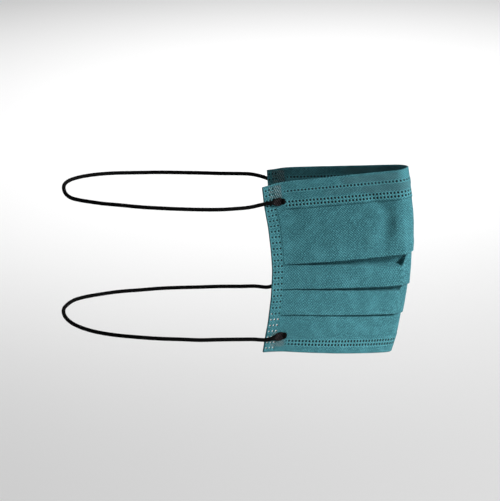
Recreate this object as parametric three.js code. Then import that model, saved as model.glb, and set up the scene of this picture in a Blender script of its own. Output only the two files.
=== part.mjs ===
// A pleated surgical face mask with two elastic head loops, in millimetres, +Z up.
// The nose fold points to -Y, the wearer's left is +X, and the origin is the point on the
// inner face of the top hem that sits on the bridge of the nose.
import * as THREE from 'three';

// Driving dimensions of the cloth, measured flat and across one half
const maskWidth = 175;
const maskHeight = 95;
const halfWidth = maskWidth / 2;
const clothWall = 1.0;
const plyGap = 0.15;
const clearance = 0.3;

// Hems, side seals and the nose wire
const topHemHeight = 16.8;
const bottomHemHeight = 8.7;
const hemWall = 1.0;
const hemCornerSteps = 2;
const sealWidth = 6.8;
const sealWall = 2.0;
const wireLength = 106;
const wireWidth = 3.4;
const wireThickness = 0.8;
const wireTop = 6.2;
const noseSeat = wireTop + wireWidth / 2;
const panelTop = wireTop + wireWidth + 2.2;
const panelFoot = maskHeight - bottomHemHeight - 2;

// Elastic loops and their welded, flattened ends
const cordDiameter = 2.2;
const cordSides = 8;
const cordStep = 2.6 * cordDiameter;
const padLength = 8.2;
const padWidth = 4.6;
const padThickness = 1.3;
const padInset = 8.3;
const padLift = 0.45;
const upperEndDown = 11.3;
const lowerEndUp = 9.2;
const lowerEndDown = maskHeight - lowerEndUp;
const leadLength = 4.5;
const loopReach = 115;

// How the worn cloth stands: one row of the table for each height, from the top edge down.
//   at     height on the flat cloth, as a share of the mask's height
//   back   how far the nose fold lies behind its top end
//   foldZ  height of the nose fold, and sideZ and edgeZ the same at the side seal and the edge
//   bend   radius of the nose fold, seen from above
//   front  angle of the cloth to the fore-and-aft plane just behind the fold, in degrees,
//   side   at the start of the flared edge, and
//   edge   at the side edge
// Lengths are shares of the mask's height.
const sections = [
  { at: 0, back: 0.001, foldZ: -0.002, sideZ: -0.058, edgeZ: -0.085, bend: 0.09, front: 12, side: 12, edge: 29 },
  { at: 0.12, back: -0.015, foldZ: -0.122, sideZ: -0.168, edgeZ: -0.198, bend: 0.09, front: 13, side: 9, edge: 26 },
  { at: 0.3, back: -0.037, foldZ: -0.308, sideZ: -0.346, edgeZ: -0.354, bend: 0.095, front: 17, side: 9, edge: 24 },
  { at: 0.494, back: -0.037, foldZ: -0.509, sideZ: -0.537, edgeZ: -0.538, bend: 0.1, front: 25, side: 13, edge: 25 },
  { at: 0.636, back: -0.016, foldZ: -0.709, sideZ: -0.676, edgeZ: -0.677, bend: 0.105, front: 31, side: 15, edge: 25 },
  { at: 0.784, back: 0.023, foldZ: -0.888, sideZ: -0.821, edgeZ: -0.823, bend: 0.11, front: 38, side: 17, edge: 27 },
  { at: 0.908, back: 0.06, foldZ: -1.021, sideZ: -0.946, edgeZ: -0.945, bend: 0.115, front: 42, side: 18, edge: 28 },
  { at: 1, back: 0.092, foldZ: -1.131, sideZ: -1.033, edgeZ: -1.028, bend: 0.12, front: 47, side: 18, edge: 30 },
];
const flareShare = 0.17;
const sideShare = 0.86;

// Dents pressed into both halves beside the nose, one row for each.
//   across  its middle's distance from the nose fold, and down its height below the top edge
//   wide    its half width, and tall its half height
//   lean    angle by which its lower end leans away from the nose fold, in degrees
//   depth   how far its middle sinks in
// Lengths are shares of the mask's height.
const dents = [
  { across: 0.214, down: 0.33, wide: 0.043, tall: 0.13, lean: 8, depth: 0.013 },
  { across: 0.262, down: 0.17, wide: 0.032, tall: 0.08, lean: -38, depth: 0.008 },
];

// The three pleats, which open downwards on the outside, one row for each from the top down.
//   at         height of the outer crease on the flat cloth
//   sideDepth  how deep the pleat is tucked at the side seals, and foldDepth the same at the fold
//   gape       how far the outer crease stands off beside the nose fold
//   valley     how far the cloth under the crease sinks in at the same place
//   lip        how far below the crease the cloth comes out again there
// All are shares of the mask's height. The cloth lies deepest at floorShare of the lip.
const pleats = [
  { at: 0.494, sideDepth: 0.11, foldDepth: 0.072, gape: 0.018, valley: 0.034, lip: 0.055 },
  { at: 0.636, sideDepth: 0.11, foldDepth: 0.062, gape: 0.01, valley: 0.02, lip: 0.028 },
  { at: 0.784, sideDepth: 0.105, foldDepth: 0.079, gape: 0.005, valley: 0.008, lip: 0.014 },
];
const gapeStart = 0.08;
const gapePeak = 0.12;
const gapeEnd = 0.86;
const gapePower = 0.75;
const lipRise = 0.7;
const floorShare = 0.6;
const creaseSteps = 3;

// Places across one half where the cloth is sampled, as shares of the half width
const stations = [0, 0.03, 0.06, 0.1, 0.14, 0.185, 0.235, 0.3, 0.4, 0.52, 0.64, 0.75, 0.83, 0.88];
const sealStations = [0, 0.25, 0.5, 0.75, 1];
const clothEnd = (halfWidth - sealWidth - clearance) / halfWidth;
const rowStep = 5.5;

const smooth = (t) => t * t * (3 - 2 * t);
const clamp01 = (t) => Math.min(1, Math.max(0, t));
const radians = THREE.MathUtils.degToRad;

// Value of one column of the section table at a height, on a smooth curve through the rows
function column(name, share) {
  const last = sections.length - 1;
  let i = 0;
  while (i < last - 1 && share > sections[i + 1].at) i += 1;
  const row = (k) => sections[Math.min(last, Math.max(0, k))];
  const slope = (k) => {
    const [p, q] = [row(k - 1), row(k + 1)];
    return (q[name] - p[name]) / (q.at - p.at);
  };
  const [a, b] = [row(i), row(i + 1)];
  const span = b.at - a.at;
  const t = (share - a.at) / span;
  if (t < 0) return a[name] + slope(i) * (share - a.at);
  if (t > 1) return b[name] + slope(i + 1) * (share - b.at);
  const [t2, t3] = [t * t, t * t * t];
  return (2 * t3 - 3 * t2 + 1) * a[name] + (t3 - 2 * t2 + t) * span * slope(i)
    + (3 * t2 - 2 * t3) * b[name] + (t3 - t2) * span * slope(i + 1);
}

// End of a piece of plan curve that starts at a heading and turns evenly to another
function sweep(start, length, from, to) {
  const turn = to - from;
  const straight = Math.abs(turn) < 1e-6;
  const across = straight ? length * Math.sin(from) : (length * (Math.cos(from) - Math.cos(to))) / turn;
  const back = straight ? length * Math.cos(from) : (length * (Math.sin(to) - Math.sin(from))) / turn;
  return { x: start.x + across, y: start.y + back, heading: to };
}

// Plan curve of one half: round the nose fold, along the cheek, then out along the flared edge
function planPoint(share, distance) {
  const front = radians(column('front', share));
  const side = radians(column('side', share));
  const edge = radians(column('edge', share));
  const fold = column('bend', share) * maskHeight * (Math.PI / 2 - front);
  const flare = halfWidth * flareShare;
  const pieces = [
    [fold, Math.PI / 2, front],
    [halfWidth - fold - flare, front, side],
    [flare, side, edge],
  ];
  let at = { x: 0, y: 0, heading: Math.PI / 2 };
  let left = distance;
  for (const [length, from, to] of pieces) {
    const used = Math.min(left, length);
    at = sweep(at, used, from, from + ((to - from) * used) / length);
    left -= used;
    if (left <= 0) break;
  }
  if (left > 0) at = sweep(at, left, at.heading, at.heading);
  return at;
}

// How far the dents press the cloth in at one place
function dentDepth(distance, down) {
  return dents.reduce((sum, dent) => {
    const turn = radians(dent.lean);
    const [x, y] = [distance / maskHeight - dent.across, down / maskHeight - dent.down];
    const u = (x * Math.cos(turn) - y * Math.sin(turn)) / dent.wide;
    const v = (x * Math.sin(turn) + y * Math.cos(turn)) / dent.tall;
    return sum + dent.depth * maskHeight * Math.exp(-u * u - v * v);
  }, 0);
}

// Point of the worn cloth: across is the distance from the nose fold, down the height below
// the top edge on the flat cloth, and out the distance from the sheet's middle, outwards
function place(across, down, outFromMiddle) {
  const share = down / maskHeight;
  const distance = Math.abs(across);
  const out = outFromMiddle - dentDepth(distance, down);
  const plan = planPoint(share, distance);
  const sideAt = halfWidth * sideShare;
  const [foldZ, sideZ, edgeZ] = ['foldZ', 'sideZ', 'edgeZ'].map((n) => column(n, share));
  const z = distance < sideAt
    ? THREE.MathUtils.lerp(foldZ, sideZ, distance / sideAt)
    : THREE.MathUtils.lerp(sideZ, edgeZ, (distance - sideAt) / (halfWidth - sideAt));
  const x = plan.x + out * Math.cos(plan.heading);
  const y = plan.y + column('back', share) * maskHeight - out * Math.sin(plan.heading);
  return new THREE.Vector3(across < 0 ? -x : x, y, z * maskHeight);
}

// Triangles that fill a closed outline, wound the same way as the outline's own points
function fill(outline) {
  const flat = outline.map(([a, b]) => new THREE.Vector2(a, b));
  const turned = THREE.ShapeUtils.isClockWise(flat);
  if (turned) flat.reverse();
  const faces = THREE.ShapeUtils.triangulateShape(flat, []);
  const last = outline.length - 1;
  return turned ? faces.map((face) => face.map((k) => last - k).reverse()) : faces;
}

// The hem's inner face at the nose seat becomes the origin
const hemOut = clothWall / 2 + clearance + hemWall;
const origin = place(0, noseSeat, -hemOut);

// Closed solid through rings of points, one ring for each station, with flat ends
function loft(rings, cap) {
  const count = rings[0].length;
  const positions = rings.flat().flatMap((p) => [p.x - origin.x, p.y - origin.y, p.z - origin.z]);
  const index = [];
  for (let i = 0; i < rings.length - 1; i += 1) {
    for (let j = 0; j < count; j += 1) {
      const [a, b] = [i * count + j, i * count + ((j + 1) % count)];
      index.push(a, a + count, b, b, a + count, b + count);
    }
  }
  const last = (rings.length - 1) * count;
  for (const [a, b, c] of cap) index.push(a, b, c, last + a, last + c, last + b);
  return outward(positions, index);
}

// Turns the faces of a closed mesh outwards and gives it flat shading
function outward(positions, index) {
  const corner = (k) => new THREE.Vector3().fromArray(positions, index[k] * 3);
  let volume = 0;
  for (let k = 0; k < index.length; k += 3) {
    volume += corner(k).dot(corner(k + 1).cross(corner(k + 2)));
  }
  if (volume < 0) index.reverse();
  const geometry = new THREE.BufferGeometry();
  geometry.setAttribute('position', new THREE.Float32BufferAttribute(positions, 3));
  geometry.setIndex(index);
  geometry.computeVertexNormals();
  return geometry;
}

// The same lines with points added, so that no step down the cloth is longer than rowStep
function refine(lines) {
  const parts = lines[0].slice(1).map((_, j) => {
    const steps = lines.map((line) => Math.abs(line[j + 1][0] - line[j][0]) / rowStep);
    return Math.max(1, Math.ceil(Math.max(...steps)));
  });
  return lines.map((line) => {
    const points = parts.flatMap((count, j) => Array.from({ length: count }, (_, k) => {
      const t = k / count;
      return [0, 1].map((axis) => line[j][axis] + (line[j + 1][axis] - line[j][axis]) * t);
    }));
    return [...points, line[line.length - 1]];
  });
}

// Closed outline of an even wall round a middle line: down one face and back up the other
function thicken(line, wall) {
  const offset = (side) => line.map(([down, out], i) => {
    const [p, q] = [line[Math.max(0, i - 1)], line[Math.min(line.length - 1, i + 1)]];
    const before = new THREE.Vector2(down - p[0], out - p[1]);
    const after = new THREE.Vector2(q[0] - down, q[1] - out);
    if (i === 0) before.copy(after);
    if (i === line.length - 1) after.copy(before);
    const along = before.normalize().add(after.normalize()).normalize();
    const widen = 1 / Math.max(0.6, along.dot(after));
    return [down - (side * along.y * wall * widen) / 2, out + (side * along.x * wall * widen) / 2];
  });
  return [...offset(1), ...offset(-1).reverse()];
}

// Solid of an even wall round a middle line, given in height below the top edge and distance
// outwards, which may change across the cloth
function sheetSolid(acrossList, lineAt, wall) {
  const lines = refine(acrossList.map((across) => lineAt(Math.abs(across))));
  const rings = lines.map((line, i) => {
    return thicken(line, wall).map(([down, out]) => place(acrossList[i], down, out));
  });
  const cap = [];
  const last = rings[0].length - 1;
  for (let i = 0; i < (last - 1) / 2; i += 1) {
    cap.push([i, i + 1, last - 1 - i], [i, last - 1 - i, last - i]);
  }
  return loft(rings, cap);
}

const bothSides = (list) => [...list.slice(1).reverse().map((s) => -s), ...list];

// How far open the pleats stand, from 0 at the fold and the side to 1 beside the nose fold
function openness(distance) {
  const share = distance / halfWidth;
  const rise = smooth(clamp01((share - gapeStart) / (gapePeak - gapeStart)));
  const fall = clamp01((gapeEnd - share) / (gapeEnd - gapePeak)) ** gapePower;
  return rise * fall;
}

// Middle line of the pleated sheet at one distance from the nose fold, from the top down.
// Each pleat runs down to its outer crease, turns up inside, and turns down again behind.
function sheetLine(distance) {
  const ply = clothWall + plyGap;
  const open = openness(distance);
  const toSide = clamp01(distance / (halfWidth * sideShare));
  const line = [];
  const turn = (down, out, direction) => {
    for (let i = 1; i < creaseSteps; i += 1) {
      const angle = (Math.PI * i) / creaseSteps;
      const bulge = (direction * Math.sin(angle) * ply) / 2;
      line.push([down + bulge, out + (Math.cos(angle) * ply) / 2]);
    }
  };
  line.push([panelTop, 0], [topHemHeight, 0]);
  let [startDown, startOut] = [topHemHeight, 0];
  for (const pleat of pleats) {
    const crease = pleat.at * maskHeight - ply / 2;
    const gape = pleat.gape * maskHeight * open;
    const depth = THREE.MathUtils.lerp(pleat.foldDepth, pleat.sideDepth, toSide) * maskHeight;
    const tuck = crease - depth + ply;
    const outAtTuck = THREE.MathUtils.mapLinear(tuck, startDown, crease, startOut, gape);
    line.push([tuck, outAtTuck], [crease, gape]);
    turn(crease, gape - ply / 2, 1);
    line.push([crease, gape - ply], [tuck, outAtTuck - ply]);
    turn(tuck, outAtTuck - 1.5 * ply, -1);
    line.push([tuck, outAtTuck - 2 * ply]);
    const lip = pleat.lip * maskHeight * open;
    line.push([crease + ply / 2 + floorShare * lip, -2 * ply - pleat.valley * maskHeight * open]);
    startDown = crease + 1.5 * ply + lip;
    startOut = -2 * ply * (1 - lipRise * open);
    line.push([startDown, startOut]);
  }
  line.push([panelFoot, 0], [maskHeight - bottomHemHeight, 0]);
  line.push([maskHeight - hemWall - clearance, 0]);
  return line;
}

function pleatedPanel() {
  const across = bothSides([...stations, clothEnd]).map((share) => share * halfWidth);
  return sheetSolid(across, sheetLine, clothWall);
}

// Strip folded over an edge of the panel: two walls joined by a round bend at the edge
function hem(edge, reach, direction) {
  const radius = clothWall / 2 + clearance + hemWall / 2;
  const bendAt = edge + direction * (radius + hemWall / 2);
  const line = [[edge + direction * reach, radius]];
  for (let i = 0; i <= 2 * hemCornerSteps; i += 1) {
    const angle = (Math.PI * i) / (2 * hemCornerSteps);
    line.push([bendAt - direction * radius * Math.sin(angle), radius * Math.cos(angle)]);
  }
  line.push([edge + direction * reach, -radius]);
  const across = bothSides([...stations, clothEnd]).map((share) => share * halfWidth);
  return sheetSolid(across, () => line, hemWall);
}

// Flat strip in which the plies are fused along one side edge
function sideSeal(side) {
  const across = sealStations.map((t) => side * (halfWidth - sealWidth * (1 - t)));
  const out = (clothWall - sealWall) / 2;
  return sheetSolid(across, () => [[0, out], [maskHeight, out]], sealWall);
}

function noseWire() {
  const half = wireLength / 2 / halfWidth;
  const across = bothSides([...stations.filter((s) => s < half - 0.02), half]).map((s) => s * halfWidth);
  return sheetSolid(across, () => [[wireTop, 0], [wireTop + wireWidth, 0]], wireThickness);
}

// Height of the middle of a loop's flattened end above the sheet's middle
const padOut = hemOut + padLift + padThickness / 2;

// The four flattened ends, one row for each.
//   side  1 for the wearer's left, -1 for the right
//   down  height of the end's middle on the flat cloth
//   tilt  angle by which the end slopes down towards the side edge, in degrees
const upperEnds = [
  { name: 'upper_loop_end_right', side: -1, down: upperEndDown - 0.1, tilt: -10 },
  { name: 'upper_loop_end_left', side: 1, down: upperEndDown - 1.5, tilt: -26 },
];
const lowerEnds = [
  { name: 'lower_loop_end_right', side: -1, down: lowerEndDown + 0.2, tilt: 8 },
  { name: 'lower_loop_end_left', side: 1, down: lowerEndDown - 4, tilt: -45 },
];

// Point beside a loop's end: along is measured from its middle towards the side edge
function padPoint(end, along, sideways, out) {
  const turn = radians(end.tilt);
  const across = halfWidth - padInset + along * Math.cos(turn) - sideways * Math.sin(turn);
  const down = end.down + along * Math.sin(turn) + sideways * Math.cos(turn);
  return place(end.side * across, down, out);
}

// Flattened, welded end of a loop: a strip with round ends that follows the cloth
function loopEnd(end) {
  const radius = padWidth / 2;
  const steps = 6;
  const outline = [];
  for (const [middle, start] of [[padLength / 2 - radius, -90], [radius - padLength / 2, 90]]) {
    for (let i = 0; i <= steps; i += 1) {
      const angle = radians(start + (180 * i) / steps);
      outline.push([middle + radius * Math.cos(angle), radius * Math.sin(angle)]);
    }
  }
  const ring = (out) => outline.map(([along, sideways]) => padPoint(end, along, sideways, out));
  return loft([ring(padOut - padThickness / 2), ring(padOut + padThickness / 2)], fill(outline));
}

// Routes of the two loops behind the mask, from the right side round to the left.
//   across  distance from the middle plane, as a share of the half width, right side negative
//   behind  distance behind the side edge, as a share of the loops' reach
//   rise    height above the side edge there, as a share of the mask's height
const upperRoute = [
  { across: -0.343, behind: 0.064, rise: -0.001 }, { across: -0.394, behind: 0.13, rise: -0.001 },
  { across: -0.44, behind: 0.206, rise: 0.001 }, { across: -0.48, behind: 0.301, rise: 0.007 },
  { across: -0.514, behind: 0.396, rise: 0.015 }, { across: -0.531, behind: 0.492, rise: 0.022 },
  { across: -0.531, behind: 0.589, rise: 0.028 }, { across: -0.509, behind: 0.688, rise: 0.034 },
  { across: -0.463, behind: 0.769, rise: 0.033 }, { across: -0.394, behind: 0.843, rise: 0.031 },
  { across: -0.309, behind: 0.904, rise: 0.026 }, { across: -0.211, behind: 0.952, rise: 0.022 },
  { across: -0.097, behind: 0.988, rise: 0.029 }, { across: 0.023, behind: 1.005, rise: 0.048 },
  { across: 0.149, behind: 0.999, rise: 0.054 }, { across: 0.274, behind: 0.97, rise: 0.054 },
  { across: 0.366, behind: 0.926, rise: 0.053 }, { across: 0.44, behind: 0.866, rise: 0.052 },
  { across: 0.497, behind: 0.789, rise: 0.05 }, { across: 0.531, behind: 0.66, rise: 0.049 },
  { across: 0.531, behind: 0.558, rise: 0.052 }, { across: 0.514, behind: 0.455, rise: 0.055 },
  { across: 0.486, behind: 0.352, rise: 0.059 }, { across: 0.451, behind: 0.25, rise: 0.063 },
  { across: 0.411, behind: 0.147, rise: 0.07 }, { across: 0.389, behind: 0.095, rise: 0.072 },
  { across: 0.354, behind: 0.044, rise: 0.067 },
];
const lowerRoute = [
  { across: -0.583, behind: 0.055, rise: -0.005 }, { across: -0.617, behind: 0.117, rise: 0.001 },
  { across: -0.663, behind: 0.212, rise: 0.008 }, { across: -0.709, behind: 0.307, rise: 0.014 },
  { across: -0.737, behind: 0.402, rise: 0.023 }, { across: -0.749, behind: 0.498, rise: 0.028 },
  { across: -0.743, behind: 0.595, rise: 0.033 }, { across: -0.697, behind: 0.696, rise: 0.032 },
  { across: -0.629, behind: 0.778, rise: 0.029 }, { across: -0.531, behind: 0.854, rise: 0.025 },
  { across: -0.411, behind: 0.919, rise: 0.022 }, { across: -0.274, behind: 0.973, rise: 0.021 },
  { across: -0.126, behind: 1.012, rise: 0.027 }, { across: 0.046, behind: 1.03, rise: 0.031 },
  { across: 0.194, behind: 1.023, rise: 0.029 }, { across: 0.343, behind: 0.998, rise: 0.027 },
  { across: 0.474, behind: 0.952, rise: 0.02 }, { across: 0.583, behind: 0.889, rise: 0.014 },
  { across: 0.669, behind: 0.802, rise: 0.014 }, { across: 0.731, behind: 0.693, rise: 0.014 },
  { across: 0.754, behind: 0.591, rise: 0.021 }, { across: 0.754, behind: 0.488, rise: 0.028 },
  { across: 0.743, behind: 0.384, rise: 0.035 }, { across: 0.726, behind: 0.28, rise: 0.044 },
  { across: 0.7, behind: 0.176, rise: 0.051 }, { across: 0.674, behind: 0.1, rise: 0.059 },
  { across: 0.638, behind: 0.036, rise: 0.061 },
];

// Tube along a route, which starts and ends against the loop's flattened ends. The route is
// measured from the side edge at the height down.
function loop(route, down, [right, left]) {
  const beside = place(halfWidth, down, 0).sub(origin);
  const behind = route.map((row) => new THREE.Vector3(
    row.across * halfWidth,
    beside.y + row.behind * loopReach,
    beside.z + row.rise * maskHeight,
  ));
  const leave = (end, past) => padPoint(end, padLength / 2 + past, 0, padOut).sub(origin);
  const points = [
    leave(right, clearance),
    leave(right, leadLength),
    ...behind,
    leave(left, leadLength),
    leave(left, clearance),
  ];
  const curve = new THREE.CatmullRomCurve3(points, false, 'centripetal');
  const section = new THREE.Shape();
  for (let i = 0; i < cordSides; i += 1) {
    const angle = (2 * Math.PI * i) / cordSides;
    const [x, y] = [(cordDiameter / 2) * Math.cos(angle), (cordDiameter / 2) * Math.sin(angle)];
    if (i === 0) section.moveTo(x, y);
    else section.lineTo(x, y);
  }
  section.closePath();
  const steps = Math.round(curve.getLength() / cordStep);
  return new THREE.ExtrudeGeometry(section, { steps, extrudePath: curve, bevelEnabled: false });
}

const clothFinish = { color: 0x4a8d97, roughness: 0.9, metalness: 0 };
const elasticFinish = { color: 0x0c0c0e, roughness: 0.8, metalness: 0 };
const wireFinish = { color: 0xd8dcdd, roughness: 0.4, metalness: 0 };

const mask = new THREE.Group();
function add(name, geometry, finish) {
  const mesh = new THREE.Mesh(geometry, new THREE.MeshStandardMaterial(finish));
  mesh.name = name;
  mask.add(mesh);
}

add('pleated_panel', pleatedPanel(), clothFinish);
add('top_hem', hem(0, topHemHeight, 1), clothFinish);
add('bottom_hem', hem(maskHeight, bottomHemHeight, -1), clothFinish);
add('nose_wire', noseWire(), wireFinish);
add('upper_loop', loop(upperRoute, upperEndDown, upperEnds), elasticFinish);
add('lower_loop', loop(lowerRoute, lowerEndDown, lowerEnds), elasticFinish);
for (const end of [...upperEnds, ...lowerEnds]) add(end.name, loopEnd(end), elasticFinish);
add('side_seal_right', sideSeal(-1), clothFinish);
add('side_seal_left', sideSeal(1), clothFinish);

export default mask;
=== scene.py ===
# A pleated surgical face mask with two elastic head loops, dressed over its frame, in metres.
# Sizes of the cloth are in millimetres, as on the flat mask, and place() turns them into metres.
import bpy
import math
import numpy as np
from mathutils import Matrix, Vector


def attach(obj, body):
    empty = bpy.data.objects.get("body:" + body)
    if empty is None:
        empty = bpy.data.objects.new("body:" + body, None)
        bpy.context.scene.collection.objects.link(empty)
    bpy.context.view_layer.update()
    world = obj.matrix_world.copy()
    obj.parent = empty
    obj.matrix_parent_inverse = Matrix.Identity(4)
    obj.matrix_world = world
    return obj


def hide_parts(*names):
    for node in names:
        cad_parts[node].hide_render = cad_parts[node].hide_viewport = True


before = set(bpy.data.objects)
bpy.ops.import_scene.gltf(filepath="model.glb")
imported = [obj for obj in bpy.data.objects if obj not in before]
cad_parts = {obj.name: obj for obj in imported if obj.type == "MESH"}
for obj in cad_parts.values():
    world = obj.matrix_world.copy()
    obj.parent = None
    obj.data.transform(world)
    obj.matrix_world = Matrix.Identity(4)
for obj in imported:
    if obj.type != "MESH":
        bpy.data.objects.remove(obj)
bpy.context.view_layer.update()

MM = 0.001

# Sizes of the mask
HEIGHT = 95.0
HALF = 87.5
TOP_HEM = 16.8
BOTTOM_HEM = 8.7
SEAL = 6.8
PANEL_TOP = 11.8
PANEL_FOOT = 84.3
WIRE_TOP = 6.2
WIRE_WIDTH = 3.4
WIRE_HALF = 53.0
NOSE_SEAT = 7.9
CORD = 2.2
PAD_INSET = 8.3
PAD_LENGTH = 8.2
LEAD = 4.5
REACH = 115.0
END_OUT = 2.9

# Thin cloth of the dressed mask. Its middle lies LIFT outside the frame's.
CLOTH = 0.4
HEM_CLOTH = 0.32
SEAL_CLOTH = 1.2
WIRE_THICK = 0.6
PLY = 0.52
LIFT = 1.0
CLOTH_END = HALF - SEAL + 0.2

# Worn shape: height, fold back, fold z, side z, edge z and fold radius as shares of the height,
# then the cloth's angle behind the fold, at the flare and at the side edge, in degrees
SECTIONS = np.array([
    (0.000, 0.001, -0.002, -0.058, -0.085, 0.090, 12, 12, 29),
    (0.120, -0.015, -0.122, -0.168, -0.198, 0.090, 13, 9, 26),
    (0.300, -0.037, -0.308, -0.346, -0.354, 0.095, 17, 9, 24),
    (0.494, -0.037, -0.509, -0.537, -0.538, 0.100, 25, 13, 25),
    (0.636, -0.016, -0.709, -0.676, -0.677, 0.105, 31, 15, 25),
    (0.784, 0.023, -0.888, -0.821, -0.823, 0.110, 38, 17, 27),
    (0.908, 0.060, -1.021, -0.946, -0.945, 0.115, 42, 18, 28),
    (1.000, 0.092, -1.131, -1.033, -1.028, 0.120, 47, 18, 30),
])
FLARE = 0.17
SIDE = 0.86
SIDE_BEND = 3.0

# Soft dents of each half: distance from the fold, height, half width and half height as shares
# of the height, lean in degrees, and depth as a share of the height, negative where it swells
DENTS = [
    (0.214, 0.330, 0.043, 0.130, 8, 0.0130),
    (0.262, 0.170, 0.032, 0.080, -38, 0.0080),
    (0.098, 0.293, 0.016, 0.036, 12, 0.0042),
    (0.147, 0.300, 0.022, 0.100, 5, -0.0045),
    (0.300, 0.380, 0.035, 0.060, 14, -0.0040),
]

# Pleats: height of the crease, depth at the side and at the fold, gape, valley and lip, all as
# shares of the height
PLEATS = [
    (0.494, 0.110, 0.072, 0.018, 0.034, 0.055),
    (0.636, 0.110, 0.062, 0.010, 0.020, 0.028),
    (0.784, 0.105, 0.079, 0.005, 0.008, 0.014),
]

# The pleats open from GAPE_START to GAPE_PEAK and close again to GAPE_END, as shares of the half
# width. Under an open pleat the cloth lies deepest at FLOOR_SHARE of the lip, and the lip's foot
# comes back out by LIP_RISE of the plies' thickness.
GAPE_START = 0.08
GAPE_PEAK = 0.12
GAPE_END = 0.86
GAPE_POWER = 0.75
LIP_RISE = 0.7
FLOOR_SHARE = 0.9

# Loops: height of the reference point on the side edge; side, height and tilt of each welded
# end; and the route behind the mask as shares of the half width, the reach and the height
LOOPS = {
    "upper": (11.3, ((-1, 11.2, -10), (1, 9.8, -26)), [
        (-0.343, 0.064, -0.001), (-0.394, 0.130, -0.001), (-0.440, 0.206, 0.001),
        (-0.480, 0.301, 0.007), (-0.514, 0.396, 0.015), (-0.531, 0.492, 0.022),
        (-0.531, 0.589, 0.028), (-0.509, 0.688, 0.034), (-0.463, 0.769, 0.033),
        (-0.394, 0.843, 0.031), (-0.309, 0.904, 0.026), (-0.211, 0.952, 0.022),
        (-0.097, 0.988, 0.029), (0.023, 1.005, 0.048), (0.149, 0.999, 0.054),
        (0.274, 0.970, 0.054), (0.366, 0.926, 0.053), (0.440, 0.866, 0.052),
        (0.497, 0.789, 0.050), (0.531, 0.660, 0.049), (0.531, 0.558, 0.052),
        (0.514, 0.455, 0.055), (0.486, 0.352, 0.059), (0.451, 0.250, 0.063),
        (0.411, 0.147, 0.070), (0.389, 0.095, 0.072), (0.354, 0.044, 0.067),
    ]),
    "lower": (85.8, ((-1, 86.0, 8), (1, 81.8, -45)), [
        (-0.583, 0.055, -0.005), (-0.617, 0.117, 0.001), (-0.663, 0.212, 0.008),
        (-0.709, 0.307, 0.014), (-0.737, 0.402, 0.023), (-0.749, 0.498, 0.028),
        (-0.743, 0.595, 0.033), (-0.697, 0.696, 0.032), (-0.629, 0.778, 0.029),
        (-0.531, 0.854, 0.025), (-0.411, 0.919, 0.022), (-0.274, 0.973, 0.021),
        (-0.126, 1.012, 0.027), (0.046, 1.030, 0.031), (0.194, 1.023, 0.029),
        (0.343, 0.998, 0.027), (0.474, 0.952, 0.020), (0.583, 0.889, 0.014),
        (0.669, 0.802, 0.014), (0.731, 0.693, 0.014), (0.754, 0.591, 0.021),
        (0.754, 0.488, 0.028), (0.743, 0.384, 0.035), (0.726, 0.280, 0.044),
        (0.700, 0.176, 0.051), (0.674, 0.100, 0.059), (0.638, 0.036, 0.061),
    ]),
}


# Camera, at the photo's angle
def make_camera():
    target = Vector((0.0, 0.08757, -0.04184))
    turn, rise = math.radians(3.22), math.radians(11.89)
    distance = 2.0
    away = Vector((-math.cos(turn) * math.cos(rise), -math.sin(turn) * math.cos(rise), math.sin(rise)))
    data = bpy.data.cameras.new("camera")
    data.sensor_width = 36
    data.lens = 251.9
    data.clip_end = 60
    camera = bpy.data.objects.new("camera", data)
    camera.location = target + distance * away
    camera.rotation_euler = (-away).to_track_quat("-Z", "Y").to_euler()
    bpy.context.scene.collection.objects.link(camera)
    bpy.context.scene.camera = camera


make_camera()


# Shape of the worn cloth
def smooth(t):
    t = np.clip(t, 0, 1)
    return t * t * (3 - 2 * t)


def column(i, share):
    """One column of SECTIONS at an array of heights, on a smooth curve through the rows."""
    at, value = SECTIONS[:, 0], SECTIONS[:, i]
    last = len(at) - 1
    low = np.maximum(np.arange(last + 1) - 1, 0)
    high = np.minimum(np.arange(last + 1) + 1, last)
    slope = (value[high] - value[low]) / (at[high] - at[low])
    k = np.clip(np.searchsorted(at, share, side="right") - 1, 0, last - 1)
    span = at[k + 1] - at[k]
    raw = (share - at[k]) / span
    t = np.clip(raw, 0, 1)
    t2, t3 = t * t, t ** 3
    inside = ((2 * t3 - 3 * t2 + 1) * value[k] + (t3 - 2 * t2 + t) * span * slope[k]
              + (3 * t2 - 2 * t3) * value[k + 1] + (t3 - t2) * span * slope[k + 1])
    before = np.minimum(raw, 0) * span * slope[k]
    after = np.maximum(raw - 1, 0) * span * slope[k + 1]
    return inside + before + after


def soft_noise(x, y, cell, seed):
    """Smooth random heights, about 1 high, with one bump in each cell."""
    grid = np.random.default_rng(seed).standard_normal((80, 80))
    u, v = x / cell + 40.3, y / cell + 20.7
    i, j = np.floor(u).astype(int) % 79, np.floor(v).astype(int) % 79
    s, t = smooth(u - np.floor(u)), smooth(v - np.floor(v))
    low = grid[i, j] * (1 - s) + grid[i + 1, j] * s
    high = grid[i, j + 1] * (1 - s) + grid[i + 1, j + 1] * s
    return low * (1 - t) + high * t


def relief(across, down):
    """How far the dents and soft waves of the cloth sink in, in mm."""
    x, y = np.abs(across) / HEIGHT, down / HEIGHT
    depth = 0.10 * soft_noise(across, down, 7.0, 3) + 0.035 * soft_noise(across, down, 2.6, 4)
    for at, height, wide, tall, lean, deep in DENTS:
        turn = math.radians(lean)
        u = ((x - at) * math.cos(turn) - (y - height) * math.sin(turn)) / wide
        v = ((x - at) * math.sin(turn) + (y - height) * math.cos(turn)) / tall
        depth = depth + deep * HEIGHT * np.exp(-u * u - v * v)
    return depth


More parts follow.
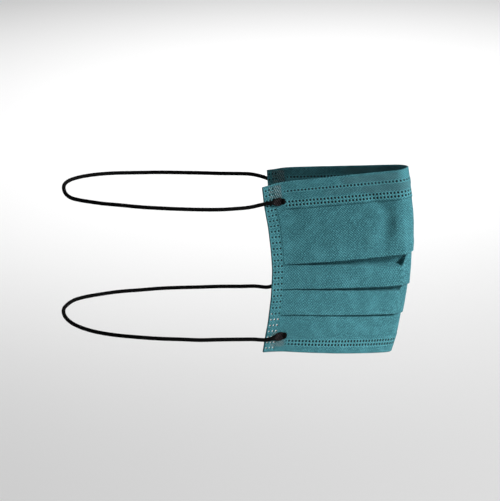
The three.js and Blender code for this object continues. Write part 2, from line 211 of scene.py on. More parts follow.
def on_section(across, down, out):
    """Points on the worn shape in mm, measured from the top of the nose fold."""
    share = down / HEIGHT
    back, fold_z, side_z, edge_z, radius = (column(i, share) for i in range(1, 6))
    front, side, edge = (np.radians(column(i, share)) for i in range(6, 9))
    distance = np.abs(across)
    fold = radius * HEIGHT * (math.pi / 2 - front)
    flare = HALF * FLARE
    arcs = ((fold, math.pi / 2, front), (HALF - fold - flare, front, side), (flare, side, edge))
    x, y, left = np.zeros_like(distance), np.zeros_like(distance), distance
    heading = np.full_like(distance, math.pi / 2)
    for length, start, end in arcs:
        used = np.clip(left, 0, length)
        turn = (end - start) * used / length
        turn = np.where(np.abs(turn) < 1e-6, 1e-6, turn)
        x = x + used * (np.cos(start) - np.cos(start + turn)) / turn
        y = y + used * (np.sin(start + turn) - np.sin(start)) / turn
        heading = np.where(used > 0, start + turn, heading)
        left = left - used
    x = x + np.maximum(left, 0) * np.sin(heading)
    y = y + np.maximum(left, 0) * np.cos(heading)
    past = distance - HALF * SIDE
    bend = (past + np.sqrt(past ** 2 + SIDE_BEND ** 2)) / 2
    slope = (side_z - fold_z) / (HALF * SIDE)
    outer_slope = (edge_z - side_z) / (HALF - HALF * SIDE)
    z = fold_z + slope * distance + (outer_slope - slope) * bend
    x = x + out * np.cos(heading)
    y = y + back * HEIGHT - out * np.sin(heading)
    return np.stack([np.where(across < 0, -x, x), y, z * HEIGHT], -1)


HEM_OUT = 1.8
ORIGIN = on_section(np.zeros(1), np.full(1, NOSE_SEAT), np.full(1, -HEM_OUT))[0]


def place(across, down, out):
    """Points of the worn cloth in metres: across and down on the flat cloth, and outwards."""
    values = (np.asarray(v, float) for v in (across, down, out))
    across, down, out = np.broadcast_arrays(*values)
    return (on_section(across, down, out - relief(across, down)) - ORIGIN) * MM


def end_point(end, along, sideways, out):
    """Point beside a loop's welded end: along runs from its middle towards the side edge."""
    side, down, tilt = end
    turn = math.radians(tilt)
    across = HALF - PAD_INSET + along * math.cos(turn) - sideways * math.sin(turn)
    height = down + along * math.sin(turn) + sideways * math.cos(turn)
    return place(side * across, height, out)


# Meshes
def new_object(name, verts, faces, corner_uv):
    """Smooth mesh with the UV layer flat, one pair of numbers for each corner of each face."""
    mesh = bpy.data.meshes.new(name)
    mesh.from_pydata(np.asarray(verts).tolist(), [], faces)
    layer = mesh.uv_layers.new(name="flat")
    layer.data.foreach_set("uv", np.asarray(corner_uv, float).ravel())
    mesh.polygons.foreach_set("use_smooth", [True] * len(mesh.polygons))
    obj = bpy.data.objects.new(name, mesh)
    bpy.context.scene.collection.objects.link(obj)
    return obj


def solid(name, verts, faces, corner_uv):
    """A closed mesh, with its faces turned outwards."""
    verts = np.asarray(verts)
    volume = 0.0
    for face in faces:
        middle = verts[list(face)].mean(axis=0)
        volume += middle.dot(np.cross(verts[face[1]] - verts[face[0]], verts[face[2]] - verts[face[0]]))
    obj = new_object(name, verts, faces, corner_uv)
    if volume < 0:
        obj.data.flip_normals()
    return obj


def ring_faces(count, around):
    """Quads between neighbouring rings."""
    faces = []
    for i in range(count - 1):
        for j in range(around):
            k = (j + 1) % around
            faces.append((i * around + j, (i + 1) * around + j, (i + 1) * around + k, i * around + k))
    return faces


def end_faces(count, around):
    """One flat face over each end of a stack of rings."""
    last = (count - 1) * around
    return [tuple(range(around)), tuple(range(last + around - 1, last - 1, -1))]


def at_corners(faces, values):
    """Values of the vertices, repeated for each corner of each face."""
    return np.asarray(values)[np.concatenate([np.asarray(face) for face in faces])]


def dress(obj, node, material):
    """Gives a piece its material, and lets it stand for a node of the frame."""
    obj.data.materials.append(material)
    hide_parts(node)
    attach(obj, "root")
    return obj


# Node trees
class Value:
    """A number in a node tree. Arithmetic on it adds Math nodes."""

    def __init__(self, tree, socket):
        self.tree = tree
        self.socket = socket

    def math(self, operation, other=None):
        node = self.tree.nodes.new("ShaderNodeMath")
        node.operation = operation
        self.tree.links.new(self.socket, node.inputs[0])
        if isinstance(other, Value):
            self.tree.links.new(other.socket, node.inputs[1])
        elif other is not None:
            node.inputs[1].default_value = other
        return Value(self.tree, node.outputs[0])

    def __add__(self, other):
        return self.math("ADD", other)

    def __sub__(self, other):
        return self.math("SUBTRACT", other)

    def __mul__(self, other):
        return self.math("MULTIPLY", other)

    def __truediv__(self, other):
        return self.math("DIVIDE", other)

    def least(self, other):
        return self.math("MINIMUM", other)

    def size(self):
        return self.math("ABSOLUTE")

    def square(self):
        return self * self

    def cell(self, pitch, start=0.0):
        """Distance from the middle of its own cell, in a row of cells of this pitch."""
        return (((self - start) / pitch).math("FRACT") - 0.5) * pitch

    def rise(self, low, high):
        """0 below low, 1 above high, and smooth between them."""
        node = self.tree.nodes.new("ShaderNodeMapRange")
        node.interpolation_type = "SMOOTHSTEP"
        node.inputs["From Min"].default_value = low
        node.inputs["From Max"].default_value = high
        self.tree.links.new(self.socket, node.inputs["Value"])
        return Value(self.tree, node.outputs["Result"])

    def fall(self, low, high):
        """1 below low and 0 above high."""
        return self.rise(low, high) * -1.0 + 1.0

    def between(self, low, high, edge):
        """1 between low and high, with soft edges."""
        return self.rise(low - edge, low + edge) * self.fall(high - edge, high + edge)


class Finish:
    """A material with one principled shader."""

    def __init__(self, name):
        self.material = bpy.data.materials.new(name)
        self.material.use_nodes = True
        self.tree = self.material.node_tree
        self.tree.nodes.clear()
        self.shader = self.tree.nodes.new("ShaderNodeBsdfPrincipled")
        output = self.tree.nodes.new("ShaderNodeOutputMaterial")
        self.tree.links.new(self.shader.outputs[0], output.inputs["Surface"])

    def flat(self):
        """The UV layer flat, as a vector and as its two numbers."""
        node = self.tree.nodes.new("ShaderNodeUVMap")
        node.uv_map = "flat"
        split = self.tree.nodes.new("ShaderNodeSeparateXYZ")
        self.tree.links.new(node.outputs[0], split.inputs[0])
        return node.outputs[0], Value(self.tree, split.outputs[0]), Value(self.tree, split.outputs[1])

    def noise(self, vector, scale, detail, stretch=(1, 1), turn=0.0):
        mapping = self.tree.nodes.new("ShaderNodeMapping")
        mapping.inputs["Scale"].default_value = (*stretch, 1)
        mapping.inputs["Rotation"].default_value = (0, 0, turn)
        self.tree.links.new(vector, mapping.inputs["Vector"])
        node = self.tree.nodes.new("ShaderNodeTexNoise")
        node.inputs["Scale"].default_value = scale
        node.inputs["Detail"].default_value = detail
        self.tree.links.new(mapping.outputs[0], node.inputs["Vector"])
        return Value(self.tree, node.outputs[0])

    def mix(self, factor, low, high):
        node = self.tree.nodes.new("ShaderNodeMix")
        node.data_type = "RGBA"
        self.tree.links.new(factor.socket, node.inputs[0])
        for socket, value in ((node.inputs[6], low), (node.inputs[7], high)):
            if isinstance(value, bpy.types.NodeSocket):
                self.tree.links.new(value, socket)
            else:
                socket.default_value = (*value, 1)
        return node.outputs[2]

    def bump(self, height, distance):
        node = self.tree.nodes.new("ShaderNodeBump")
        node.inputs["Distance"].default_value = distance
        self.tree.links.new(height.socket, node.inputs["Height"])
        return node.outputs[0]

    def done(self, color, normal, **numbers):
        """Links the colour and the normal, and sets the shader's other numbers."""
        self.tree.links.new(color, self.shader.inputs["Base Color"])
        self.tree.links.new(normal, self.shader.inputs["Normal"])
        for name, value in numbers.items():
            self.shader.inputs[name.replace("_", " ")].default_value = value
        return self.material


# Colours of the cloth
TEAL = (0.036, 0.172, 0.204)
TEAL_LIGHT = (0.108, 0.375, 0.425)
TEAL_DARK = (0.005, 0.048, 0.063)
# Painted highlight for the rims of the weld dots
DOT_RIM_HIGHLIGHT = (0.110, 0.400, 0.450)
GREY_TEAL = (0.066, 0.118, 0.132)
# Painted shade inside the weld dots
DOT_PIT_SHADE = (0.002, 0.006, 0.008)
# Painted shade in the weld tool's strokes, and painted highlight beside them
HATCH_GROOVE_SHADE = (0.003, 0.014, 0.018)
HATCH_RIDGE_HIGHLIGHT = (0.420, 0.600, 0.620)
SHEEN_TEAL = (0.70, 0.92, 0.95)

# Colours of the elastic, the nose wire and the floor
# Painted shade in the grooves of the knitted elastic
ELASTIC_GROOVE_SHADE = (0.0006, 0.0006, 0.0007)
ELASTIC_TOP = (0.0020, 0.0019, 0.0020)
ELASTIC_FUZZ = (0.008, 0.0075, 0.008)
# Painted shade where the pressed pads' surface lies low
PAD_LOW_SHADE = (0.0008, 0.0007, 0.0008)
PAD_TOP = (0.0030, 0.0024, 0.0027)
PAD_STROKE = (0.110, 0.082, 0.090)
WIRE_DARK = (0.50, 0.53, 0.53)
WIRE_LIGHT = (0.66, 0.69, 0.69)
FLOOR_DARK = (0.87, 0.87, 0.87)
FLOOR_LIGHT = (0.90, 0.90, 0.90)

# Emboss of the cloth: small leaning ovals on a slanting grid, with their pitches and half sizes. The ovals
# are darkened with painted shade.
EMBOSS_LONG, EMBOSS_WIDE = 1.18, 1.02
OVAL_LONG, OVAL_WIDE = 0.42, 0.27

# Strokes of the weld tool: lean in degrees, pitch and length, and the shift of the painted highlight beside
# each stroke
HATCH_LEAN = 32
HATCH_PITCH = 1.05
HATCH_LENGTH = 2.1
HATCH_HIGHLIGHT_SHIFT = 0.55

# Weld patches under the loops' ends: distance from the side edge, and height, from and to
PATCHES = [(3.4, 10.8, 1.0, 11.0), (3.2, 11.6, HEIGHT - 12.5, HEIGHT - 3.0)]

# Weld dots of the side bands: their columns' distances from the side edge, and their rows.
# Below OPEN_FROM they go right through. Above it they are shut pits, darkened with painted shade.
HOLE_COLUMNS = (1.5, 3.6, 5.7)
HOLE_PITCH = 3.214
HOLE_FIRST = 2.6
HOLE_RADIUS = 0.48
RIM_RADIUS = 0.66
OPEN_FROM = 70.0

# Rows of weld dots along the hems, as height and pitch
TOP_ROWS = [(6.0, 2.0), (12.5, 2.0), (14.6, 2.0)]
BOTTOM_ROWS = [(HEIGHT - 6.3, 2.0), (HEIGHT - 4.4, 2.0)]
ROWS_END = 12.4

# Greyer cloth over the nose wire: height from and to, distance from the fold from and to, share
TOP_GREY = [(0.8, 5.4, 9.0, 42.0, 0.45), (6.9, 11.7, 2.0, 30.0, 0.4), (6.9, 10.5, 28.0, 52.0, 0.25)]


def hatch(across, down):
    """Short leaning strokes of a weld tool: 1 on a stroke and 0 between."""
    turn = math.radians(HATCH_LEAN)
    u = across * math.cos(turn) + down * math.sin(turn)
    v = down * math.cos(turn) - across * math.sin(turn)
    narrow = u.cell(HATCH_PITCH).size().fall(0.10 * HATCH_PITCH, 0.30 * HATCH_PITCH)
    return narrow * v.cell(HATCH_LENGTH).size().fall(0.36 * HATCH_LENGTH, 0.47 * HATCH_LENGTH)


def plain_cloth(m, vector, across, down):
    """Colour, height and fibres of the non-woven cloth, with painted shade in the emboss's pressed ovals.
    """
    a = (across + down) * 0.7071
    b = (across - down) * 0.7071
    oval = (a.cell(EMBOSS_LONG) / OVAL_LONG).square() + (b.cell(EMBOSS_WIDE) / OVAL_WIDE).square()
    emboss = oval.fall(0.35, 1.25)
    fibre = m.noise(vector, 1.5, 4.0, (1.0, 2.2), 0.75) + m.noise(vector, 1.7, 4.0, (2.2, 1.0), -0.6)
    fibre = fibre * 0.5
    speckle = m.noise(vector, 1.05, 2.0)
    mottle = m.noise(vector, 0.75, 3.0)
    cloud = m.noise(vector, 0.14, 3.0)
    color = m.mix(fibre.rise(0.40, 0.60), TEAL_DARK, TEAL_LIGHT)
    color = m.mix(speckle.rise(0.44, 0.56) * 0.15, color, TEAL)
    color = m.mix(mottle.fall(0.42, 0.54) * 0.32, color, TEAL_DARK)
    color = m.mix(cloud.rise(0.42, 0.72) * 0.30, color, TEAL_LIGHT)
    # Painted shade in the pressed ovals of the emboss
    color = m.mix(emboss * 0.95, color, TEAL_DARK)
    height = fibre * 0.9 - emboss * 0.8 + speckle * 0.5
    return color, height, fibre


def add_patch(m, color, height, inset, down, zone):
    """Hatched weld patch between two distances from the side edge and two heights, with painted shade in
    its strokes and a painted highlight beside each.
    """
    x0, x1, y0, y1 = zone
    patch = inset.between(x0, x1, 0.5) * down.between(y0, y1, 0.5)
    dark = hatch(inset, down) * patch
    light = hatch(inset + HATCH_HIGHLIGHT_SHIFT, down) * patch
    color = m.mix(patch * 0.35, color, TEAL_DARK)
    # Painted shade in each stroke's groove, and a painted highlight on the cloth just beside it
    color = m.mix(dark * 0.9, color, HATCH_GROOVE_SHADE)
    color = m.mix(light * 0.50, color, HATCH_RIDGE_HIGHLIGHT)
    return color, height - dark * 1.2 + light * 0.5


def add_dots(m, color, height, u, v, mask):
    """Weld dots with painted shade inside and a painted highlight round the rim, at u and v from the middle
    of the nearest one.
    """
    r = (u.square() + v.square()).math("SQRT")
    rim = r.fall(0.90, 1.12) * mask
    # Painted highlight round each dot's rim, then painted shade inside the dot
    color = m.mix(rim * 0.5, color, DOT_RIM_HIGHLIGHT)
    color = m.mix(r.fall(0.50, 0.76) * mask, color, DOT_PIT_SHADE)
    return color, height - rim * 0.6


def cloth_finish(name, rows=(), holes=False, grey=(), patches=()):
    """Non-woven cloth with its weld emboss. UV is across and down the cloth."""
    m = Finish(name)
    vector, across, down = m.flat()
    far = across.size()
    inset = far * -1.0 + HALF
    color, height, fibre = plain_cloth(m, vector, across, down)
    for low, high, start, end, amount in grey:
        zone = down.between(low, high, 0.7) * far.between(start, end, 4.0)
        color = m.mix(zone * fibre.rise(0.3, 0.6) * amount, color, GREY_TEAL)
    for zone in patches:
        color, height = add_patch(m, color, height, inset, down, zone)
    for at, pitch in rows:
        inner = inset.rise(ROWS_END - 0.1, ROWS_END + 0.1)
        color, height = add_dots(m, color, height, far.cell(pitch), (down - at) * 0.85, inner)
    for at in HOLE_COLUMNS if holes else ():
        row = down.cell(HOLE_PITCH, HOLE_FIRST - HOLE_PITCH / 2)
        color, height = add_dots(m, color, height, inset - at, row, inset.fall(7, 8))
    m.shader.inputs["Sheen Tint"].default_value = (*SHEEN_TEAL, 1)
    return m.done(color, m.bump(height, 0.20 * MM), Roughness=0.85, Sheen_Weight=0.03, Sheen_Roughness=0.45,
                  Specular_IOR_Level=0.15)


def elastic_finish():
    """Black knitted elastic. UV is the distance along it in mm and the turn round it."""
    m = Finish("black_elastic")
    vector, along, turn = m.flat()
    left = ((along / 1.6 + turn * 5.0).math("FRACT") - 0.5).size()
    right = ((along / 1.6 - turn * 5.0).math("FRACT") - 0.5).size()
    knit = left.least(right).rise(0.02, 0.20)
    fuzz = m.noise(vector, 5.0, 4.0)
    # Painted shade in the grooves between the knit's ribs
    color = m.mix(knit, ELASTIC_GROOVE_SHADE, ELASTIC_TOP)
    color = m.mix(fuzz.rise(0.52, 0.8) * 0.30, color, ELASTIC_FUZZ)
    return m.done(color, m.bump(knit + fuzz * 0.5, 0.14 * MM), Roughness=0.9, Specular_IOR_Level=0.06)


def weld_finish():
    """The same elastic pressed flat under a hatched weld tool. UV is mm along and across it."""
    m = Finish("welded_elastic")
    vector, along, sideways = m.flat()
    strokes = hatch(along, sideways) * along.between(-1.5, 3.2, 0.4)
    fuzz = m.noise(vector, 4.0, 4.0)
    # Painted shade in the low spots of the pressed pad
    color = m.mix(fuzz.rise(0.4, 0.8), PAD_LOW_SHADE, PAD_TOP)
    color = m.mix(strokes * fuzz.rise(0.46, 0.6), color, PAD_STROKE)
    return m.done(color, m.bump(fuzz * 0.3 - strokes, 0.20 * MM), Roughness=0.85, Specular_IOR_Level=0.08)


def wire_finish():
    """Pale plastic coat of the nose wire. UV is mm along and across it."""
    m = Finish("coated_wire")
    vector, _, _ = m.flat()
    grain = m.noise(vector, 1.2, 3.0)
    color = m.mix(grain.rise(0.3, 0.7), WIRE_DARK, WIRE_LIGHT)
    return m.done(color, m.bump(grain, 0.1 * MM), Roughness=0.42)


# The two cords
CORD_STEP = 0.55
CORD_AROUND = 20


def smooth_path(points, step):
    """Even steps along a centripetal curve through the points, and its length."""
    knots = [2 * points[0] - points[1], *points, 2 * points[-1] - points[-2]]
    dense = []
    for i in range(1, len(knots) - 2):
        p = knots[i - 1:i + 3]
        k = np.cumsum([0] + [np.linalg.norm(b - a) ** 0.5 for a, b in zip(p, p[1:])])
        for t in np.linspace(k[1], k[2], 40, endpoint=False):
            a = [((k[j + 1] - t) * p[j] + (t - k[j]) * p[j + 1]) / (k[j + 1] - k[j]) for j in range(3)]
            b = [((k[j + 2] - t) * a[j] + (t - k[j]) * a[j + 1]) / (k[j + 2] - k[j]) for j in range(2)]
            dense.append(((k[2] - t) * b[0] + (t - k[1]) * b[1]) / (k[2] - k[1]))
    dense = np.array([*dense, knots[-2]])
    far = np.concatenate([[0], np.cumsum(np.linalg.norm(np.diff(dense, axis=0), axis=1))])
    at = np.linspace(0, far[-1], round(far[-1] / step) + 1)
    return np.stack([np.interp(at, far, dense[:, i]) for i in range(3)], 1), far[-1]


def tube(name, path, radius, around):
    """Closed tube along a path, with the distance in mm and the turn as its UV."""
    tangent = np.gradient(path, axis=0)
    tangent /= np.linalg.norm(tangent, axis=1, keepdims=True)
    side = np.cross(tangent[0], (0, 0, 1))
    sides = []
    for t in tangent:
        side = side - t * side.dot(t)
        side = side / np.linalg.norm(side)
        sides.append(side)
    sides = np.array(sides)[:, None]
    up = np.cross(tangent, sides[:, 0])[:, None]
    angle = np.linspace(0, 2 * math.pi, around, endpoint=False)[None, :, None]
    verts = path[:, None] + radius * (np.cos(angle) * sides + np.sin(angle) * up)
    faces = ring_faces(len(path), around) + end_faces(len(path), around)
    step = np.linalg.norm(path[1] - path[0]) / MM
    uv = []
    for face in faces:
        turns = [v % around for v in face]
        wraps = len(face) == 4 and max(turns) - min(turns) > 1
        for v, turn in zip(face, turns):
            uv.append((v // around * step, (around if wraps and turn == 0 else turn) / around))
    return solid(name, verts.reshape(-1, 3), faces, uv)


def make_cord(name, edge_down, ends, route):
    beside = place(HALF, edge_down, 0.0)
    behind = [(a * HALF * MM, beside[1] + b * REACH * MM, beside[2] + r * HEIGHT * MM) for a, b, r in route]
    leads = [PAD_LENGTH / 2 + 0.3, PAD_LENGTH / 2 + LEAD]
    right, left = ([end_point(end, along, 0.0, END_OUT) for along in leads] for end in ends)
    path, length = smooth_path([*right, *map(np.array, behind), *left[::-1]], CORD_STEP * MM)
    cord = tube(f"{name}_elastic", path, CORD / 2 * MM, CORD_AROUND)
    dress(cord, f"{name}_loop", elastic)


elastic = elastic_finish()
for key, (edge_down, ends, route) in LOOPS.items():
    make_cord(key, edge_down, ends, route)


# Cloth pieces
def spread_across(end, step):
    """Places across the whole cloth, the same on both sides of the fold."""
    half = np.arange(0, end - step / 3, step)
    return np.concatenate([[-end], -half[:0:-1], half, [end]])


def sample_lines(across, line_at, step):
    """The middle line at each place across, with points added at most step apart."""
    lines = np.array([line_at(abs(float(x))) for x in across])
    spans = np.linalg.norm(np.diff(lines, axis=1), axis=2).max(axis=0)
    index, shares = [], []
    for i, span in enumerate(spans):
        n = max(1, math.ceil(span / step))
        index += [i] * n
        shares += [k / n for k in range(n)]
    index = np.array(index)
    shares = np.array(shares)[None, :, None]
    points = lines[:, index] * (1 - shares) + lines[:, index + 1] * shares
    return np.concatenate([points, lines[:, -1:]], axis=1)


def sheet(name, across, lines, wall, pits=None, by_height=False):
    """Even sheet round its middle lines of (down, out). pits gives the depth of weld pits.
    UV is across and the distance along the line, or the height where by_height is set."""
    along = np.gradient(lines, axis=1)
    along /= np.linalg.norm(along, axis=2, keepdims=True)
    normal = np.stack([-along[..., 1], along[..., 0]], -1)
    half = np.full(lines.shape[:2], wall / 2)
    if pits is not None:
        half = half - pits(across[:, None], lines[..., 0])
    offset = normal * half[..., None]
    ring = np.concatenate([lines + offset, (lines - offset)[:, ::-1]], axis=1)
    steps = np.linalg.norm(np.diff(lines, axis=1), axis=2)
    run = np.concatenate([np.zeros((len(across), 1)), np.cumsum(steps, axis=1)], axis=1)
    second = lines[..., 0] if by_height else run
    second = np.concatenate([second, second[:, ::-1]], axis=1)
    spread = np.broadcast_to(across[:, None], ring.shape[:2])
    verts = place(spread, ring[..., 0], ring[..., 1] + LIFT)
    count, around = ring.shape[:2]
    faces = ring_faces(count, around)
    last = (count - 1) * around
    for j in range(around // 2 - 1):
        quad = (j, j + 1, around - 2 - j, around - 1 - j)
        faces.append(quad)
        faces.append(tuple(last + v for v in quad[::-1]))
    uv = np.stack([spread, second], -1).reshape(-1, 2)
    obj = solid(name, verts.reshape(-1, 3), faces, at_corners(faces, uv))
    return obj, float(run.max()) * MM


def openness(distance):
    """How far open the pleats stand, from 0 at the fold and the side to 1 beside the fold."""
    share = distance / HALF
    rise = smooth((share - GAPE_START) / (GAPE_PEAK - GAPE_START))
    return float(rise * np.clip((GAPE_END - share) / (GAPE_END - GAPE_PEAK), 0, 1) ** GAPE_POWER)


def pleat_line(distance):
    """Middle line of the pleated cloth at one distance from the nose fold, from the top down."""
    opened = openness(distance)
    to_side = min(1.0, distance / (HALF * SIDE))
    line = [(PANEL_TOP, 0.0), (TOP_HEM, 0.0)]
    start, start_out = TOP_HEM, 0.0

    def turn(down, out, way):
        for angle in np.linspace(0, math.pi, 8)[1:-1]:
            line.append((down + way * math.sin(angle) * PLY / 2, out + math.cos(angle) * PLY / 2))

    for at, side_depth, fold_depth, gape_share, valley, lip in PLEATS:
        crease = at * HEIGHT - PLY / 2
        gape = gape_share * HEIGHT * opened
        depth = (fold_depth + (side_depth - fold_depth) * to_side) * HEIGHT
        tuck = crease - depth + PLY
        out_tuck = start_out + (gape - start_out) * (tuck - start) / (crease - start)
        line += [(tuck, out_tuck), (crease, gape)]
        turn(crease, gape - PLY / 2, 1)
        line += [(crease, gape - PLY), (tuck, out_tuck - PLY)]
        turn(tuck, out_tuck - 1.5 * PLY, -1)
        rise = lip * HEIGHT * opened
        floor = crease + PLY / 2 + FLOOR_SHARE * rise
        line += [(tuck, out_tuck - 2 * PLY), (floor, -2 * PLY - valley * HEIGHT * opened)]
        start = crease + 1.5 * PLY + rise
        start_out = -2 * PLY * (1 - LIP_RISE * opened)
        line.append((start, start_out))
    line += [(PANEL_FOOT, 0.0), (HEIGHT - BOTTOM_HEM, 0.0), (HEIGHT - 1.3, 0.0)]
    return line


def make_panel():
    across = spread_across(CLOTH_END, 0.95)
    lines = sample_lines(across, pleat_line, 0.95)
    obj, length = sheet("pleated_cloth", across, lines, CLOTH)
    dress(obj, "pleated_panel", cloth_finish("panel_cloth"))
    return obj, length


def make_hem(name, node, edge, reach, way, rows, grey=(), wire=False):
    """Strip folded over an edge, from the foot of its outer wall round to its inner wall."""
    gap = (CLOTH + HEM_CLOTH) / 2 + 0.02
    fine = [abs(edge - at) + shift for at, _ in rows for shift in (-0.55, -0.33, -0.11, 0.11, 0.33, 0.55)]
    heights = sorted({*np.arange(gap, reach, 1.1), *fine, reach})
    outer = [(edge + way * h, gap) for h in reversed(heights)]
    angles = np.linspace(0, math.pi, 9)[1:-1]
    bend = [(edge + way * gap * (1 - math.sin(t)), gap * math.cos(t)) for t in angles]
    line = outer + bend + [(down, -gap) for down, _ in reversed(outer)]
    across = spread_across(CLOTH_END, 1 / 3)
    lines = np.tile(np.array(line), (len(across), 1, 1))
    if wire:
        down = lines[..., 0]
        over = smooth((down - WIRE_TOP + 1) / 1.4) * smooth((WIRE_TOP + WIRE_WIDTH + 1 - down) / 1.4)
        over = over * smooth((WIRE_HALF + 1 - np.abs(across[:, None])) / 2)
        lines[..., 1] += np.sign(lines[..., 1]) * 0.28 * over

    def pits(x, down):
        depth = 0.0
        for at, pitch in rows:
            u = (np.abs(x) / pitch % 1 - 0.5) * pitch
            pit = 0.10 * (1 - smooth(np.hypot(u, down - at) / 0.62))
            depth = depth + pit * (np.abs(x) < HALF - ROWS_END)
        return depth

    obj, length = sheet(name, across, lines, HEM_CLOTH, pits, by_height=True)
    dress(obj, node, cloth_finish(name, rows, grey=grey, patches=PATCHES))


def make_band(hand, side, finish):
    """Welded side band: a grid of cells, with a weld pit or a hole in some of them."""
    cell = 0.82
    rows = [HOLE_FIRST + HOLE_PITCH * k for k in range(int((HEIGHT - HOLE_FIRST - cell) // HOLE_PITCH) + 1)]
    xs = sorted({HALF, HALF - SEAL, *(HALF - c + s * cell for c in HOLE_COLUMNS for s in (-1, 1))})
    ys = sorted({0.0, HEIGHT, *(y + s * cell for y in rows for s in (-1, 1))})
    dotted = {(round(HALF - c, 3), round(y, 3)) for c in HOLE_COLUMNS for y in rows}
    points, sunk, faces = {}, [], []

    def point(x, y, depth=0.0):
        key = (round(x, 5), round(y, 5))
        if key not in points:
            points[key] = len(points)
            sunk.append(depth)
        return points[key]

    for x0, x1 in zip(xs, xs[1:]):
        for y0, y1 in zip(ys, ys[1:]):
            xm, ym = (x0 + x1) / 2, (y0 + y1) / 2
            square = [(x0, y0), (xm, y0), (x1, y0), (x1, ym), (x1, y1), (xm, y1), (x0, y1), (x0, ym)]
            rings = [[point(*p) for p in square]]
            dot = (round(xm, 3), round(ym, 3)) in dotted
            for radius, depth in ((RIM_RADIUS, 0.0), (HOLE_RADIUS, 0.22)) if dot else ():
                turns = [math.radians(45 * k - 135) for k in range(8)]
                circle = [(xm + radius * math.cos(t), ym + radius * math.sin(t)) for t in turns]
                rings.append([point(*p, depth) for p in circle])
            for outer, inner in zip(rings, rings[1:]):
                faces += [(outer[k - 1], outer[k], inner[k], inner[k - 1]) for k in range(8)]
            if not dot or ym < OPEN_FROM:
                middle = point(xm, ym, 0.3 if dot else 0.0)
                faces += [(rings[-1][k - 1], rings[-1][k], middle) for k in range(8)]
    flat = np.array(list(points))
    half = SEAL_CLOTH / 2 - np.array(sunk)
    middle_out = LIFT + 0.45 - SEAL_CLOTH / 2
    skins = [place(side * flat[:, 0], flat[:, 1], middle_out + sign * half) for sign in (1, -1)]
    n = len(flat)
    edges = {(a, b) for face in faces for a, b in zip(face, face[1:] + face[:1])}
    walls = sorted((b, a, a + n, b + n) for a, b in edges if (b, a) not in edges)
    faces = faces + [tuple(v + n for v in face[::-1]) for face in faces] + walls
    uv = np.tile(np.stack([side * flat[:, 0], flat[:, 1]], 1), (2, 1))
    obj = solid(f"side_band_{hand}", np.concatenate(skins), faces, at_corners(faces, uv))
    return dress(obj, f"side_seal_{hand}", finish)


def make_wire():
    across = spread_across(WIRE_HALF, 1.5)
    ends = [(WIRE_TOP + 0.3, 0.0), (WIRE_TOP + WIRE_WIDTH - 0.3, 0.0)]
    obj, _ = sheet("wire_strip", across, sample_lines(across, lambda distance: ends, 0.6), WIRE_THICK)
    dress(obj, "nose_wire", wire_finish())


panel, panel_length = make_panel()
make_hem("top_hem_cloth", "top_hem", 0.0, TOP_HEM, 1, TOP_ROWS, TOP_GREY, wire=True)
make_hem("bottom_hem_cloth", "bottom_hem", HEIGHT, BOTTOM_HEM, -1, BOTTOM_ROWS)
make_wire()
band_cloth = cloth_finish("band_cloth", holes=True, patches=PATCHES)
bands = [make_band("right", -1, band_cloth), make_band("left", 1, band_cloth)]

# The loops' welded ends, from the cord to the round tip: share of the length, half width,
# half thickness and height of the middle above the cloth's middle, in mm
END_SECTIONS = np.array([
    (0.00, 1.12, 1.12, 2.90),
    (0.12, 1.20, 1.05, 2.85),
    (0.28, 1.85, 0.72, 2.45),
    (0.42, 2.40, 0.55, 2.22),
    (0.62, 2.50, 0.52, 2.20),
    (0.72, 2.05, 0.60, 2.28),
    (0.80, 1.75, 0.85, 2.48),
    (0.88, 1.75, 0.95, 2.55),
    (0.95, 1.35, 0.80, 2.48),
    (0.99, 0.65, 0.40, 2.40),
    (1.00, 0.10, 0.08, 2.36),
])
END_AROUND = 24


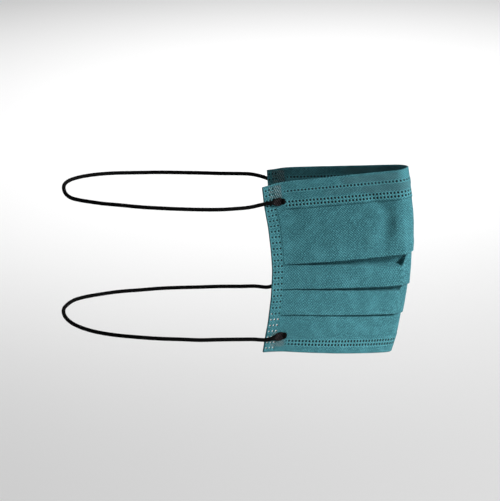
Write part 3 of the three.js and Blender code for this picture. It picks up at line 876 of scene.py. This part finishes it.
def make_end(key, hand, end, finish):
    """Welded end of a loop: a cord that widens into a flat pressed strip and a round tip."""
    tip = 0.9 + 0.1 * np.sin(np.linspace(0, math.pi / 2, 10))[1:]
    share = np.concatenate([np.linspace(0, 0.9, 37), tip])
    at = END_SECTIONS[:, 0]
    half_width, half_thick, middle = (np.interp(share, at, END_SECTIONS[:, i]) for i in (1, 2, 3))
    for values in (half_width, half_thick, middle):
        values[2:-2] = np.convolve(values, np.array([1, 2, 3, 2, 1]) / 9, mode="valid")
    along = PAD_LENGTH / 2 + 0.9 - share * (PAD_LENGTH + 1.0)
    pressed = smooth((share - 0.25) / 0.1) * smooth((0.72 - share) / 0.08)
    half_width = half_width + 0.10 * pressed * np.sin(along * 2 * math.pi / 0.95)
    angle = np.linspace(0, 2 * math.pi, END_AROUND, endpoint=False)
    sideways = half_width[:, None] * np.sign(np.cos(angle)) * np.abs(np.cos(angle)) ** 0.85
    out = middle[:, None] + half_thick[:, None] * np.sign(np.sin(angle)) * np.abs(np.sin(angle)) ** 0.85
    spread = np.broadcast_to(along[:, None], sideways.shape)
    faces = ring_faces(len(along), END_AROUND) + end_faces(len(along), END_AROUND)
    uv = np.stack([spread, sideways], -1).reshape(-1, 2)
    verts = end_point(end, spread, sideways, out).reshape(-1, 3)
    obj = solid(f"{key}_weld_{hand}", verts, faces, at_corners(faces, uv))
    dress(obj, f"{key}_loop_end_{hand}", finish)


welded = weld_finish()
for key, (edge_down, ends, route) in LOOPS.items():
    for hand, end in zip(("right", "left"), ends):
        make_end(key, hand, end, welded)


# Floor and light
def make_floor():
    size, drop = 16.0, -0.55
    corners = [(x * size, y * size, drop) for x, y in ((-1, -1), (1, -1), (1, 1), (-1, 1))]
    floor = new_object("floor", corners, [(0, 1, 2, 3)], [(0, 0), (1, 0), (1, 1), (0, 1)])
    m = Finish("pale_floor")
    vector, _, _ = m.flat()
    mottle = m.noise(vector, 40.0, 2.0)
    color = m.mix(mottle, FLOOR_DARK, FLOOR_LIGHT)
    floor.data.materials.append(m.done(color, m.bump(mottle, MM), Roughness=0.95, Specular_IOR_Level=0.0))


def area_light(name, location, target, size, power):
    data = bpy.data.lights.new(name, "AREA")
    data.shape = "RECTANGLE"
    data.size, data.size_y = size
    data.energy = power
    light = bpy.data.objects.new(name, data)
    light.location = location
    aim = Vector(target) - Vector(location)
    light.rotation_euler = aim.to_track_quat("-Z", "Y").to_euler()
    bpy.context.scene.collection.objects.link(light)


MIDDLE = (0.0, 0.05, -0.05)
make_floor()
area_light("key", (-0.28, -1.50, 0.70), MIDDLE, (0.45, 0.45), 47)
area_light("front_fill", (-1.9, -0.3, 0.15), MIDDLE, (1.2, 0.8), 1.5)
area_light("far_fill", (1.7, -0.9, 0.5), MIDDLE, (1.2, 0.8), 4)
area_light("back_fill", (0.0, 2.2, 0.8), MIDDLE, (1.5, 1.0), 3)
area_light("floor_pool", (3.44, 0.18, 0.78), (3.44, 0.18, -0.55), (2.6, 0.6), 32)
world = bpy.data.worlds.new("studio")
world.use_nodes = True
world.node_tree.nodes["Background"].inputs[0].default_value = (1, 1, 1, 1)
world.node_tree.nodes["Background"].inputs[1].default_value = 0.13
bpy.context.scene.world = world
bpy.context.scene.view_settings.view_transform = "Standard"
